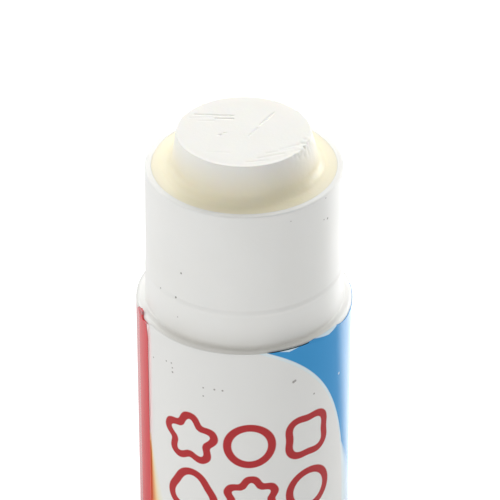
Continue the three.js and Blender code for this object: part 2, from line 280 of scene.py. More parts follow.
def corner_shade(tree, place):
    """0 to 1 for the painted shade at the front of the neck's foot: most in the corner itself."""
    height = add(tree, "ShaderNodeSeparateXYZ", [place], out="Z")
    depth = add(tree, "ShaderNodeSeparateXYZ", [place], out="Y")
    share = 0.0
    for reach in SHADE_HEIGHTS:
        fading = remap(tree, height, (SHOULDER_Z + 0.1) * MM, (SHOULDER_Z + reach) * MM, 0.5, 0.0)
        share = maths(tree, "ADD", share, fading)
    above = remap(tree, height, (SHOULDER_Z - 2) * MM, (SHOULDER_Z - 1) * MM)
    front = remap(tree, depth, SHADE_FRONT[0] * MM, SHADE_FRONT[1] * MM, interpolation_type="SMOOTHSTEP")
    for mask in (above, front):
        share = maths(tree, "MULTIPLY", share, mask)
    return share


def make_polypropylene(name, tints, roughness, speck_share, spots=()):
    """Satin white plastic. speck_share is the share of the pattern's cells that hold a speck of dust."""
    material, tree = new_material(name)
    place = add(tree, "ShaderNodeTexCoord", out="Object")
    slow = clouds(tree, place, 7, 2.0)
    grain = clouds(tree, place, 0.3, 3.0)
    cells = {"Vector": place, "Scale": per_mm(SPECK_CELL), "Randomness": 1.0}
    far = add(tree, "ShaderNodeTexVoronoi", cells, out="Distance")
    pick = add(tree, "ShaderNodeTexVoronoi", cells, out="Color")
    near = maths(tree, "LESS_THAN", far, SPECK_REACH)
    chosen = maths(tree, "LESS_THAN", pick, speck_share)
    speck = maths(tree, "MULTIPLY", near, chosen)
    speck = maths(tree, "MAXIMUM", speck, specks(tree, place, spots))
    # The first layer is painted shade in the corner at the neck's foot; the specks are real dust.
    shade_and_marks = [(corner_shade(tree, place), "#e4e2dc"), (speck, "#8d8a84")]
    face = paint(tree, tints[0], [(slow, tints[1]), *shade_and_marks])
    rough = remap(tree, slow, 0.0, 1.0, roughness - ROUGH_SPREAD, roughness + ROUGH_SPREAD)
    waves = bump(tree, slow, 0.3, 0.05)
    satin = {
        "Base Color": face,
        "Roughness": rough,
        "IOR": 1.49,
        "Normal": bump(tree, grain, 0.35, 0.012, Normal=waves),
        "Subsurface Weight": 0.12,
        "Subsurface Radius": (1.0, 0.9, 0.8),
        "Subsurface Scale": 0.8 * MM,
    }
    shader = add(tree, "ShaderNodeBsdfPrincipled", satin)
    add(tree, "ShaderNodeOutputMaterial", {"Surface": shader})
    return material


neck_spots = [on_neck(*speck) for speck in NECK_SPECKS]
white_tints = ("#f3f3f0", "#eeeeea")
barrel_plastic = make_polypropylene("satin_moulded_polypropylene", white_tints, 0.38, 0.05, neck_spots)
cap_plastic = make_polypropylene("smooth_moulded_polypropylene", ("#f4f4f1", "#efefeb"), 0.3, 0.04)
inner_plastic = make_polypropylene("plain_moulded_polypropylene", ("#efeee9", "#e9e8e2"), 0.5, 0.02)
print("plastics", barrel_plastic.name, cap_plastic.name, inner_plastic.name)

# %% [markdown]
# ## Turned shapes
# Nearly every piece of a glue stick is round. Each one is an outline of radius and height, turned about
# its axis. A real moulding has no sharp corner, so an outline's corner can carry a rounding, and the arc
# is worked out here. Next to each arc lies one short straight step. It stops the smooth shading of the
# arc from running over the whole long face beside it.


# %% Outlines with rounded corners
def arc(centre, radius, start, sweep, steps):
    """Points along an arc, from a start angle on through a sweep, both in radians."""
    turned = [start + sweep * step / steps for step in range(steps + 1)]
    return [centre + Vector((math.cos(angle), math.sin(angle))) * radius for angle in turned]


def rounded(corners, steps=6, hold=0.04):
    """Points of an outline. Each corner is (radius, height) or (radius, height, rounding), in mm."""
    points = []
    count = len(corners)
    for index, corner in enumerate(corners):
        here = Vector(corner[:2])
        if len(corner) == 2:
            points.append(here)
            continue
        rounding = corner[2]
        back = (Vector(corners[index - 1][:2]) - here).normalized()
        ahead = (Vector(corners[(index + 1) % count][:2]) - here).normalized()
        half = back.angle(ahead) / 2
        centre = here + (back + ahead).normalized() * rounding / math.sin(half)
        first = here + back * rounding / math.tan(half)
        last = here + ahead * rounding / math.tan(half)
        start = math.atan2(first.y - centre.y, first.x - centre.x)
        sweep = math.atan2(last.y - centre.y, last.x - centre.x) - start
        sweep = (sweep + math.pi) % (2 * math.pi) - math.pi
        points += [first + back * hold, *arc(centre, rounding, start, sweep, steps), last + ahead * hold]
    return points


# %% [markdown]
# The outline runs anticlockwise round the material, with the radius to the right and the height up: out
# along the bottom, up the outside and back in along the top. Then all the faces point outwards. A piece
# that isn't quite round passes a function that moves each point.


# %% Turn an outline into a mesh
ON_AXIS = 1e-6
SHARP_FROM = math.radians(40)


def add_piece(name, vertices, faces, material):
    """A new object from points in mm and faces, smooth with its real edges kept crisp."""
    mesh = bpy.data.meshes.new(name)
    mesh.from_pydata([Vector(point) * MM for point in vertices], [], faces)
    mesh.materials.append(material)
    mesh.shade_smooth()
    mesh.set_sharp_from_angle(angle=SHARP_FROM)
    return new_object(name, mesh)


def turn(name, outline, material, segments=192, centre=(0, 0), form=None):
    """Turns an outline about the vertical through centre. An outline off the axis closes on itself."""
    vertices = []
    rows = []
    for radius, height in outline:
        if radius < ON_AXIS:
            rows.append([len(vertices)] * segments)
            vertices.append(Vector((0, 0, height)))
            continue
        rows.append([len(vertices) + step for step in range(segments)])
        for step in range(segments):
            angle = 2 * math.pi * step / segments
            vertices.append(Vector((radius * math.cos(angle), radius * math.sin(angle), height)))
    if form:
        vertices = [form(point) for point in vertices]
    vertices = [point + Vector((*centre, 0)) for point in vertices]
    closed = outline[0][0] > ON_AXIS
    faces = []
    for lower, upper in zip(rows, rows[1:] + rows[:1] if closed else rows[1:]):
        for step in range(segments):
            after = (step + 1) % segments
            corners = (lower[step], lower[after], upper[after], upper[step])
            faces.append(tuple(dict.fromkeys(corners)))
    return add_piece(name, vertices, faces, material)


# %% [markdown]
# ## Barrel
# The barrel is one moulding: a spigot that turns in the knob, a floor with a hole for the spindle, a long
# wall, the shoulder that stops the cap, and the neck. Low on the neck runs a fine step where the mould's
# halves met: a ledge of a tenth of a millimetre with a tiny bead under it, softer on the left where the
# mould closes better. Below it the foot swells a little, more on the right, which grips the cap. Inside,
# three guide ribs stop the glue from turning. One function moves the points of the turned wall, so the
# barrel stays one clean closed surface with all of that in it.


# %% The barrel's wall and its guide ribs
def angle_from(angle, target):
    """The smallest angle between two directions."""
    return abs((angle - target + math.pi) % (2 * math.pi) - math.pi)


def smooth_step(value):
    """0 below 0, 1 above 1 and a soft S between."""
    share = min(max(value, 0), 1)
    return share * share * (3 - 2 * share)


STEP_Z = SHOULDER_Z + NECK_STEP_HEIGHT
NECK_LOW = SHOULDER_Z + 0.6
NECK_HIGH = RIM_Z - 0.5
WALL_MIDDLE = (BORE_RADIUS + NECK_RADIUS) / 2
LEDGE_HEIGHT = 0.42
LEDGE_SIDE = math.radians(-50)
BEAD_DEPTH, BEAD_DROP, BEAD_WIDTH = 0.04, 0.38, 0.2
SWELL_LEFT, SWELL_RIGHT, SWELL_HEIGHT = 0.02, 0.15, 3.0


def neck_radius(angle, z):
    """Radius of the neck's wall: a slight draft, the ledge, the bead under it, and the swelling foot."""
    below = STEP_Z - z
    clear = 0.25 + 0.75 * (1 - smooth_step(angle_from(angle, LEDGE_SIDE) - 1.1))
    upper = NECK_STEP_RADIUS + (NECK_RADIUS - NECK_STEP_RADIUS) * max(0, -below) / (RIM_Z - STEP_Z)
    ledge = smooth_step(0.5 + below / (LEDGE_HEIGHT / clear))
    bead = BEAD_DEPTH * clear * math.exp(-(((below - BEAD_DROP) / BEAD_WIDTH) ** 2))
    foot = max(0, SHOULDER_Z + SWELL_HEIGHT - z) / SWELL_HEIGHT
    swell = SWELL_LEFT + SWELL_RIGHT * smooth_step(0.5 + math.cos(angle) / 0.9)
    return upper + (NECK_FOOT_RADIUS - upper) * ledge + bead + swell * foot * foot


def barrel_form(point):
    """Pulls the bore inwards where a guide rib runs, and shapes the neck."""
    radius = math.hypot(point.x, point.y)
    angle = math.atan2(point.y, point.x)
    in_bore = abs(radius - BORE_RADIUS) < 0.01 and LEDGE_Z < point.z < RIB_TOP
    aside = min(angle_from(angle, rib) for rib in RIB_ANGLES) * BORE_RADIUS
    wanted = radius
    if in_bore and aside < RIB_WIDTH / 2:
        wanted = BORE_RADIUS - RIB_DEPTH
    if radius > WALL_MIDDLE and NECK_LOW < point.z < NECK_HIGH:
        wanted = neck_radius(angle, point.z)
    if WALL_MIDDLE < radius < BARREL_RADIUS and SHOULDER_Z - 0.01 < point.z <= NECK_LOW:
        shift = neck_radius(angle, NECK_LOW) - NECK_FOOT_RADIUS
        wanted = radius + shift * (1 - smooth_step((radius - NECK_FOOT_RADIUS - 0.1) / 0.6))
    return Vector((point.x * wanted / radius, point.y * wanted / radius, point.z))


# Rows up the neck's wall: far apart at its foot, close together over the ledge.
neck_rows = [(NECK_FOOT_RADIUS, NECK_LOW + 0.1 + 0.4 * step) for step in range(8)]
neck_rows += [(NECK_FOOT_RADIUS, STEP_Z - 0.9 + 0.06 * step) for step in range(26)]
neck_rows += [(NECK_STEP_RADIUS, STEP_Z + 1.2), (NECK_RADIUS, NECK_HIGH - 0.1)]

barrel_outline = rounded(
    [
        (JOURNAL_HOLE, SPIGOT_FOOT),
        (SPIGOT_RADIUS, SPIGOT_FOOT, 0.3),
        (SPIGOT_RADIUS, BARREL_FOOT),
        (BARREL_RADIUS, BARREL_FOOT, 0.3),
        (BARREL_RADIUS, SHOULDER_Z, SHOULDER_ROUND),
        (NECK_FOOT_RADIUS, SHOULDER_Z, 0.22),
        (NECK_FOOT_RADIUS, NECK_LOW),
        *neck_rows,
        (NECK_RADIUS, RIM_Z, 0.22),
        (BORE_RADIUS + 0.18, RIM_Z, 0.05),
        (BORE_RADIUS, RIM_Z - 0.18, 0.05),
        (BORE_RADIUS, RIB_TOP + 0.02),
        (BORE_RADIUS, RIB_TOP - 0.02),
        (BORE_RADIUS, LEDGE_Z + 0.02),
        (BORE_RADIUS, LEDGE_Z),
        (SPIGOT_BORE, LEDGE_Z),
        (SPIGOT_BORE, SPIGOT_FOOT + BARREL_FLOOR),
        (JOURNAL_HOLE, SPIGOT_FOOT + BARREL_FLOOR),
    ]
)
barrel = turn("moulded_barrel", barrel_outline, barrel_plastic, segments=240, form=barrel_form)
print(barrel.name, len(barrel.data.polygons), "faces")

# %% [markdown]
# ## Glue
# The glue is a set gel, poured hot into the barrel from below with the cap on, so its top keeps the shape
# of the cap's sealing ring: a boss with slightly sloping sides, and a flare that runs out to the lip and
# sticks to it. It is soft, so its top is scored by a few strokes, a thin burr stands along its front edge
# and its right edge is crumbled. These are real dents and chips in the mesh, because the glue is the
# piece that one looks at most.

# %% The boss, and the marks on its top, in millimetres
GLUE_RADIUS = BORE_RADIUS - 0.03
BOSS_TOP_RADIUS = 7.62
BOSS_FOOT_RADIUS = 8.2
FLARE_FILLET = 1.3
FLARE_Z = RIM_Z - 0.02
FLARE_END = BOSS_FOOT_RADIUS + FLARE_FILLET
BOSS_SHIFT = 0.19
BOSS_LEAN = 0.26
CRUMBLE_SIDE, CRUMBLE_SPREAD = math.radians(-24), 0.33
BURR_SIDE, BURR_HEIGHT, BURR_WIDTH = math.radians(-85), 0.07, 0.22
TOP_DIP = 0.09
SCORES = [
    ((-5.6, 3.7), (-1.25, 3.4), 0.11, 0.09),
    ((-3.3, 2.8), (-1.25, 2.74), 0.11, 0.09),
    ((-6.2, 3.0), (-3.6, 3.1), 0.09, 0.04),
    ((-5.2, 2.3), (-3.4, 2.3), 0.08, 0.03),
    ((0.5, -1.0), (1.5, 0.7), 0.10, 0.06),
    ((1.8, 1.5), (3.4, 4.1), 0.11, 0.08),
    ((-2.75, -0.76), (-2.63, -0.66), 0.13, 0.12),
    ((-2.3, -0.3), (-2.0, -0.25), 0.10, 0.05),
    ((0.2, -6.5), (2.6, -6.1), 0.09, 0.05),
    ((1.4, -5.7), (4.4, -4.7), 0.09, 0.05),
    ((2.4, -4.7), (5.4, -3.6), 0.09, 0.04),
    ((3.9, -3.9), (6.3, -2.7), 0.09, 0.05),
    ((-4.2, -4.3), (-1.6, -4.5), 0.08, 0.03),
]


def score_depth(x, y):
    """How deep the scores go at a point of the boss's top."""
    depth = 0.0
    for start, end, width, deepest in SCORES:
        along = Vector(end) - Vector(start)
        here = Vector((x, y)) - Vector(start)
        share = min(max(here.dot(along) / along.length_squared, 0), 1)
        gap = (here - along * share).length
        if gap < 3 * width:
            depth = max(depth, deepest * math.exp(-((gap / width) ** 2)))
    return depth


print(len(SCORES), "scores on the boss")


# %% The shape of the worn glue
def lumps(point, size, seed):
    """Smooth random height between -1 and 1, with features of a given size in mm."""
    return noise.noise(point / size + Vector((seed, seed, seed)))


def worn_glue(point):
    """Moves a point of the turned glue to where the real, handled glue has it."""
    radius = math.hypot(point.x, point.y)
    angle = math.atan2(point.y, point.x)
    aside = min(angle_from(angle, rib) for rib in RIB_ANGLES) * radius
    in_groove = aside < RIB_WIDTH / 2 + 0.15 and point.z < RIB_TOP + 0.1
    if radius > BORE_RADIUS - RIB_DEPTH and in_groove:
        radius = BORE_RADIUS - RIB_DEPTH - 0.08
    x = radius * math.cos(angle)
    y = radius * math.sin(angle)
    z = point.z
    rise = (z - FLARE_Z) / (BOSS_TOP - FLARE_Z)
    if rise < 0.02:
        return Vector((x, y, z))
    spot = Vector((x, y, z))
    x += BOSS_SHIFT * (1 - smooth_step((radius - BOSS_FOOT_RADIUS) / FLARE_FILLET)) - BOSS_LEAN * rise
    edge = max(0.0, 1 - abs(radius - BOSS_TOP_RADIUS) / 1.1) * max(0.0, rise - 0.6) / 0.4
    crumbling = math.exp(-((angle_from(angle, CRUMBLE_SIDE) / CRUMBLE_SPREAD) ** 2))
    crumbs = max(0.0, lumps(spot, 0.55, 3.0) + 0.25) + 0.5 * max(0.0, lumps(spot, 0.22, 9.0))
    wear = edge * (0.03 + 0.3 * crumbling * crumbs)
    push = 1 - wear * 0.7 / radius if radius > 1 else 1
    side = min(1.0, max(0.0, radius - BOSS_TOP_RADIUS + 0.2))
    swell = 0.05 * lumps(spot, 2.4, 5.0) + 0.025 * lumps(spot, 0.8, 7.0)
    x = x * push + math.cos(angle) * swell * side
    y = y * push + math.sin(angle) * swell * side
    z -= wear * 0.6
    if radius < BOSS_TOP_RADIUS:
        front = smooth_step((1.5 - angle_from(angle, BURR_SIDE)) / 0.6)
        burr = BURR_HEIGHT * front * math.exp(-(((radius - BOSS_TOP_RADIUS + 0.12) / BURR_WIDTH) ** 2))
        z += 0.03 * lumps(spot, 3.2, 1.0) - TOP_DIP + burr - score_depth(x, y)
    return Vector((x, y, min(z, BOSS_TOP)))


# %% [markdown]
# The outline's rows are close together where the marks are and far apart down the hidden stick. The
# inside is hollow round the spindle and over the carrier's nut, as it is when the glue is poured.


# %% The glue's outline and mesh
def run(start, end, steps):
    """Points from start to just before end, evenly spaced."""
    first, last = Vector(start), Vector(end)
    return [first.lerp(last, step / steps) for step in range(steps)]


SPINDLE_TOP = 84.0
HOLLOW_RADIUS = 3.7
NUT_RADIUS = 5.7
NUT_TOP = 20.0
CUP_TOP = 20.5
CUP_BORE = 9.1
GLUE_FOOT = glue_low.z
EDGE_ROUND = 0.12
QUARTER = math.pi / 2

fillet_centre = Vector((FLARE_END, FLARE_Z + FLARE_FILLET))
fillet = arc(fillet_centre, FLARE_FILLET, 3 * QUARTER, -QUARTER, 14)
edge_centre = Vector((BOSS_TOP_RADIUS - EDGE_ROUND, BOSS_TOP - EDGE_ROUND))
edge_arc = arc(edge_centre, EDGE_ROUND, 0, QUARTER, 6)
glue_outline = [
    (0, SPINDLE_TOP + 0.3),
    (HOLLOW_RADIUS, SPINDLE_TOP + 0.3),
    (HOLLOW_RADIUS, NUT_TOP),
    (NUT_RADIUS, NUT_TOP),
    (NUT_RADIUS, GLUE_FOOT),
    (CUP_BORE, GLUE_FOOT),
    (CUP_BORE, CUP_TOP),
    (GLUE_RADIUS, CUP_TOP),
    *run((GLUE_RADIUS, CUP_TOP + 0.1), (GLUE_RADIUS, RIB_TOP + 0.09), 24),
    (GLUE_RADIUS, RIB_TOP + 0.09),
    (GLUE_RADIUS, RIB_TOP + 0.12),
    (GLUE_RADIUS, RIM_Z - 0.2),
    (GLUE_RADIUS + 0.17, RIM_Z - 0.03),
    (GLUE_RADIUS + 0.14, FLARE_Z),
    (GLUE_RADIUS + 0.05, FLARE_Z),
    (FLARE_END + 0.3, FLARE_Z),
    *fillet,
    *run(fillet[-1], edge_arc[0], 14)[1:],
    *edge_arc,
    *run(edge_arc[-1], (0, BOSS_TOP), 74)[1:],
    (0, BOSS_TOP),
]

# %% [markdown]
# Set glue is a soap gel with a high water content. It is cream coloured, a little translucent and waxy:
# light goes in by about a millimetre and comes out warmer, so its shaded side turns yellow, not grey.
# Where the cap keeps it moist, down by the rim, it shines a little; its handled top has dried to a paler
# and duller skin. The material gets that from subsurface scattering, from creams mixed by height and by a
# slow noise, and from a roughness that grows with height.


# %% The glue's material
def make_glue_gel():
    """Cream soap gel: yellowish where the rim keeps it moist, paler up the boss, palest on top."""
    material, tree = new_material("set_soap_gel")
    place = add(tree, "ShaderNodeTexCoord", out="Object")
    height = add(tree, "ShaderNodeSeparateXYZ", [place], out="Z")
    dried = remap(tree, height, (RIM_Z + 0.2) * MM, (BOSS_TOP - 0.4) * MM)
    slow = clouds(tree, place, 3, 3.0)
    wax = clouds(tree, place, 0.35, 4.0)
    face = paint(tree, "#f6edcd", [(slow, "#f8f0d6"), (dried, "#f4f3ed")])
    rough = remap(tree, slow, 0.0, 1.0, 0.26, 0.38)
    rough = maths(tree, "MULTIPLY_ADD", dried, 0.18, rough)
    swell = bump(tree, slow, 0.4, 0.06)
    gel = {
        "Base Color": face,
        "Roughness": rough,
        "IOR": 1.4,
        "Normal": bump(tree, wax, 0.5, 0.03, Normal=swell),
        "Subsurface Weight": 0.2,
        "Subsurface Radius": (1.5, 1.1, 0.6),
        "Subsurface Scale": 1.0 * MM,
    }
    shader = add(tree, "ShaderNodeBsdfPrincipled", gel)
    add(tree, "ShaderNodeOutputMaterial", {"Surface": shader})
    return material


glue_gel = make_glue_gel()
glue = turn("moulded_glue", glue_outline, glue_gel, segments=320, form=worn_glue)
print(glue.name, len(glue.data.polygons), "faces")

# %% [markdown]
# ## Label
# The label is a printed, laminated film, wrapped once round the barrel by a machine, with its outer end
# lapped over its start. So its section is a band that climbs over itself at the seam. The film is 0.09 mm
# thick and hugs the rounding of the shoulder. Its top edge isn't straight: near the seam it has a small
# folded flap and a notch, at the front right it stands a little high and has come about 0.3 mm off the
# rounding, and further right it sags. Its own coordinates are millimetres round the barrel and up it, so
# that the print can be drawn to size: they are kept in the mesh's UV map, a hundredth for each
# millimetre.

# %% The film's section and its top edge
FILM_GAP = 0.012
FILM = LABEL_RADIUS - BARREL_RADIUS - 0.03
SEAM_ANGLE = math.radians(209.4)
OVERLAP = 2.6 / LABEL_RADIUS
RAMP = 1.2 / LABEL_RADIUS
LABEL_FOOT = label_low.z
LABEL_TOP = label_high.z
FILM_TOP = LABEL_TOP + 0.14
UV_PER_MM = 0.01
NICK_U = -15.05
FOLD_DEPTH, FOLD_WIDTH, FOLD_HEIGHT = 0.03, 0.3, 0.5
CURL_DEPTH, CURL_HEIGHT = 0.07, 0.8
RISE = 0.12
WAVER = 0.03

# A stretch of the edge: where it starts and over how many mm, where it ends and over how many mm.
LOOSE = (2.3, 0.8, 7.0, 2.0)
FLAP = (NICK_U - 2.0, 1.6, NICK_U - 0.1, 0.3)
NOTCH = (NICK_U - 0.1, 0.5, NICK_U + 1.6, 0.6)
HIGH = (2.3, 0.8, 11.5, 2.0)
SAGGING = (12.2, 2.8, 18.0, 8.0)
EDGE_HEIGHTS = [(FLAP, 0.5), (NOTCH, -0.33), (HIGH, RISE), (SAGGING, -0.45)]


def within(u, stretch):
    """1 within a stretch of the film's edge and 0 outside it, with soft ends."""
    first, rising, last, falling = stretch
    return smooth_step((u - first) / rising) * (1 - smooth_step((u - last) / falling))


def shoulder_hug(z):
    """How far the shoulder's rounding draws back from the barrel's side at a height."""
    above = min(max(0.0, z - SHOULDER_Z + SHOULDER_ROUND), 0.75 * SHOULDER_ROUND)
    return SHOULDER_ROUND - math.sqrt(SHOULDER_ROUND**2 - above**2)


def film_radius(angle, u, z):
    """Radius of the film's inner face at an angle that runs from the start of the wrap to its end."""
    climb_end = SEAM_ANGLE - OVERLAP + 2 * math.pi
    climb = smooth_step((angle - climb_end + RAMP) / RAMP)
    fold = FOLD_DEPTH * math.exp(-(((u - NICK_U) / FOLD_WIDTH) ** 2) - ((z - FILM_TOP) / FOLD_HEIGHT) ** 2)
    curl = CURL_DEPTH * within(u, LOOSE) * math.exp(-(((FILM_TOP + 0.15 - z) / CURL_HEIGHT) ** 2))
    hug = shoulder_hug(z) * (1 - within(u, LOOSE))
    return BARREL_RADIUS + FILM_GAP - hug + climb * (FILM + 0.01) + fold + curl


def film_height(u, share):
    """Height of a point of the film, a share of the way from its foot to its uneven top edge."""
    top = FILM_TOP + WAVER * noise.noise(Vector((u / 3, 2.0, 0)))
    top += sum(height * within(u, stretch) for stretch, height in EDGE_HEIGHTS)
    return LABEL_FOOT + (top - LABEL_FOOT) * share


print("film", round(FILM, 3), "mm thick")


# %% The film's mesh
FILM_COLUMNS = 420
FILM_ROWS = [0.0, 0.02, *[0.1 * step for step in range(1, 9)], 0.85, 0.88, 0.9, 0.92, 0.935, 0.95]
FILM_ROWS += [0.96, 0.968, 0.975, 0.98, 0.985, 0.989, 0.993, 0.996, 0.998, 1.0]


def make_film(material):
    """A closed band: outer face, top edge, inner face, bottom edge, and its two ends."""
    start = SEAM_ANGLE - OVERLAP
    end = SEAM_ANGLE + 2 * math.pi
    vertices = []
    places = []
    for thickness in (0.0, FILM):
        for column in range(FILM_COLUMNS + 1):
            angle = start + (end - start) * column / FILM_COLUMNS
            turned = angle + math.pi / 2
            u = ((turned + math.pi) % (2 * math.pi) - math.pi) * LABEL_RADIUS
            for share in FILM_ROWS:
                z = film_height(u, share)
                radius = film_radius(angle, u, z) + thickness
                vertices.append(Vector((radius * math.cos(angle), radius * math.sin(angle), z)))
                places.append((u * UV_PER_MM, z * UV_PER_MM))
    rows = len(FILM_ROWS)
    sheet = (FILM_COLUMNS + 1) * rows

    def at(layer, column, row):
        return layer * sheet + column * rows + row

    faces = []
    top = rows - 1
    last = FILM_COLUMNS
    for column in range(FILM_COLUMNS):
        after = column + 1
        for row in range(top):
            corners = [(column, row), (after, row), (after, row + 1), (column, row + 1)]
            faces.append([at(1, *corner) for corner in corners])
            faces.append([at(0, *corner) for corner in reversed(corners)])
        faces.append([at(1, column, top), at(1, after, top), at(0, after, top), at(0, column, top)])
        faces.append([at(0, column, 0), at(0, after, 0), at(1, after, 0), at(1, column, 0)])
    for row in range(top):
        faces.append([at(0, 0, row), at(1, 0, row), at(1, 0, row + 1), at(0, 0, row + 1)])
        faces.append([at(1, last, row), at(0, last, row), at(0, last, row + 1), at(1, last, row + 1)])
    film = add_piece("printed_film", vertices, faces, material)
    uv = film.data.uv_layers.new(name="film_mm")
    for loop in film.data.loops:
        uv.data[loop.index].uv = places[loop.vertex_index]
    return film


# %% [markdown]
# ## Print
# The print is flat colour on white: a white front panel with a domed right shoulder, a blue field outside
# on the right, a red one on the left, and a warm glow low down between red and white. A pale line
# runs along the dome, and low down the blue fades in from it. High up beside the red, a dark line is a
# painted shadow of the overlap's lapped edge, and a pinkish strip beside it is a painted highlight on the
# clear cut edge. Darker red is painted in the fold of the flap as its shade. Where the top edge has come
# off, a dark dull line painted along it is the shadow of the gap under it, two pale patches beside it are
# painted highlight on the curved edge, and on the far sides a narrow margin stays bare. On the panel stand
# two rows of outlined craft shapes, as if drawn with a red marker. The back has a bare rounded panel. All
# of it is worked out from the film's own millimetres, so it keeps its size and stays sharp. One formula
# draws every shape: a closed line whose distance from its centre swells and shrinks on the way round.

# %% The shapes on the panel
RED_INK = "#d8353b"
BLUE_INK = "#3199d8"
MARKER_INK = "#b8292d"
WHITE_INK = "#ededea"
DOME_U, DOME_V = -5.18, 46.97
DOME_WIDTH, DOME_HEIGHT = 20.03, 28.36
DOME_POWER = 2.29
DOME_LINE = (0.983, 0.987)
BLUE_START = 0.998
RED_EDGE = -13.25
GLOW_EDGE = 0.35
GLOW = [
    (0.06, 0.22, "#e06c42"),
    (0.22, 0.35, "#e49a5c"),
    (0.35, 0.46, "#f5c88f"),
    (0.46, 0.58, "#f4dfb6"),
    (0.58, 0.7, "#eee9d1"),
    (0.7, 1.0, WHITE_INK),
]
BACK_U = math.pi * LABEL_RADIUS
BACK_PANEL = (13.0, 22.0, 3.0)
BACK_PANEL_INKS = [(0.0, WHITE_INK), (-0.8, "#8fa3b4"), (-1.05, WHITE_INK)]
# Painted highlight where the film's curved top edge catches light: middle, half length and width in mm.
HIGHLIGHT_PATCHES = [(5.2, 1.6, 0.42), (11.0, 2.3, 0.45)]
MARGIN = 0.34
MARGINS = [(-BACK_U, -16.9, FILM_TOP), (22.0, BACK_U, FILM_TOP)]
# The shadow line painted along the lifted top edge: its width, its stretch of u and the edge's height, in
# mm.
SHADOW_LINE_WIDTH = 0.07
SHADOWED_EDGE = (2.3, 7.8, FILM_TOP + RISE)
SHAPES = [
    (-6.6, 61.0, 2.7, 5, 0.17, 90),
    (0.6, 61.0, 2.6, 1, 0.0, 0),
    (7.8, 61.0, 2.7, 4, 0.1, 45),
    (-6.4, 53.2, 2.7, 3, 0.12, 90),
    (0.8, 53.2, 2.7, 6, 0.13, 90),
    (8.0, 53.2, 2.6, 1, 0.0, 0),
]
MARKER_WIDTH = 0.98

# What changes with height: the two heights, and the values there.
RED_LEAN = (FILM_TOP - 2.2, FILM_TOP, 0.0, 0.35)
RED_DRIFT = (57.5, 46.0, RED_EDGE, RED_EDGE + 0.84)
GLOW_WIDTH = (58.5, 11.0, 0.03, 17.0)
BLUE_FADE = (56.5, 11.0, 0.004, 1.0)
# The heights over which the painted shadow and highlight at the overlap's edge fade in.
PAINTED_LAP_HEIGHTS = (56.0, 61.0, 0.0, 1.0)


def shape_mask(tree, u, v, shape):
    """1 on the marker line of one shape, 0 elsewhere."""
    centre_u, centre_v, radius, lobes, swing, turned = shape
    du = maths(tree, "SUBTRACT", u, centre_u)
    dv = maths(tree, "SUBTRACT", v, centre_v)
    both = add(tree, "ShaderNodeCombineXYZ", [du, dv])
    far = add(tree, "ShaderNodeVectorMath", [both], out="Value", operation="LENGTH")
    angle = maths(tree, "ARCTAN2", dv, du)
    phase = -math.radians(turned) * lobes
    lobe = maths(tree, "MULTIPLY_ADD", angle, float(lobes), phase)
    wave = maths(tree, "COSINE", lobe)
    line = maths(tree, "MULTIPLY_ADD", wave, swing * radius, radius)
    gap = maths(tree, "SUBTRACT", far, line)
    ripple = maths(tree, "SINE", lobe)
    slope = maths(tree, "MULTIPLY", ripple, swing * lobes)
    steepness = maths(tree, "MULTIPLY_ADD", slope, slope, 1.0)
    length = maths(tree, "POWER", steepness, 0.5)
    square = maths(tree, "DIVIDE", gap, length)
    away = maths(tree, "ABSOLUTE", square)
    half = MARKER_WIDTH / 2
    return remap(tree, away, half - 0.05, half + 0.05, 1.0, 0.0)


# %% Specks on the film, and painted shade in the fold of the flap
FILM_SPECKS = [
    (-8.94, 69.3, 0.0, 0.13),
    (-8.95, 69.9, 0.0, 0.1),
    (-9.9, 70.4, 0.0, 0.1),
    (-9.1, 70.5, 0.0, 0.1),
    (-12.3, 69.6, 0.0, 0.1),
    (-4.8, 68.65, 0.0, 0.1),
    (-4.8, 67.5, 0.0, 0.1),
    (-3.45, 68.7, 0.0, 0.12),
    (-2.5, 68.7, 0.0, 0.12),
    (5.8, 69.15, 0.0, 0.18),
    (6.0, 69.25, 0.0, 0.16),
    (8.65, 66.4, 0.0, 0.12),
]
PALE_SPECKS = [(13.2, 66.8, 0.0, 0.17)]
# Darker red painted in the fold of the flap stands for its shade.
FOLD_SHADE = [
    (-16.9, 73.8, 0.0, 0.18),
    (-16.4, 73.9, 0.0, 0.2),
    (-15.9, 73.9, 0.0, 0.22),
    (-15.45, 73.95, 0.0, 0.24),
    (-15.15, 74.0, 0.0, 0.22),
    (-15.6, 73.5, 0.0, 0.18),
    (-13.75, 73.45, 0.0, 0.14),
]
print(len(FILM_SPECKS) + len(PALE_SPECKS), "specks and", len(FOLD_SHADE), "marks along the fold")


# %% The film's material
def dome_reach(tree, u, v):
    """1 on the panel's domed edge, less inside it and more outside: a quarter of a full ellipse."""
    total = 0.0
    for place, start, size in ((u, DOME_U, DOME_WIDTH), (v, DOME_V, DOME_HEIGHT)):
        share = place
        sums = (("SUBTRACT", start), ("MAXIMUM", 0.0), ("DIVIDE", size), ("POWER", DOME_POWER))
        for operation, number in sums:
            share = maths(tree, operation, share, number)
        total = maths(tree, "ADD", total, share)
    return maths(tree, "POWER", total, 1 / DOME_POWER)


def top_edge(tree, u, v, width, strip):
    """1 on a strip along the film's top edge, from one u to another below a height, 0 elsewhere."""
    first, last, edge = strip
    share = remap(tree, v, edge - width - 0.03, edge - width + 0.03)
    for operation, end in (("GREATER_THAN", first), ("LESS_THAN", last)):
        inside = maths(tree, operation, u, end)
        share = maths(tree, "MULTIPLY", share, inside)
    return share


def highlight_patch(tree, u, v, patch):
    """1 in a patch of painted highlight along the film's top edge, widest in its middle, running out at
    its ends.
    """
    middle, half, width = patch
    edge = FILM_TOP + RISE
    aside = maths(tree, "SUBTRACT", u, middle)
    aside = maths(tree, "ABSOLUTE", aside)
    reach = remap(tree, aside, 0.0, half, width, 0.0)
    reach = maths(tree, "ADD", v, reach)
    high = remap(tree, reach, edge, edge + 0.08)
    inside = maths(tree, "LESS_THAN", aside, half)
    return maths(tree, "MULTIPLY", high, inside)


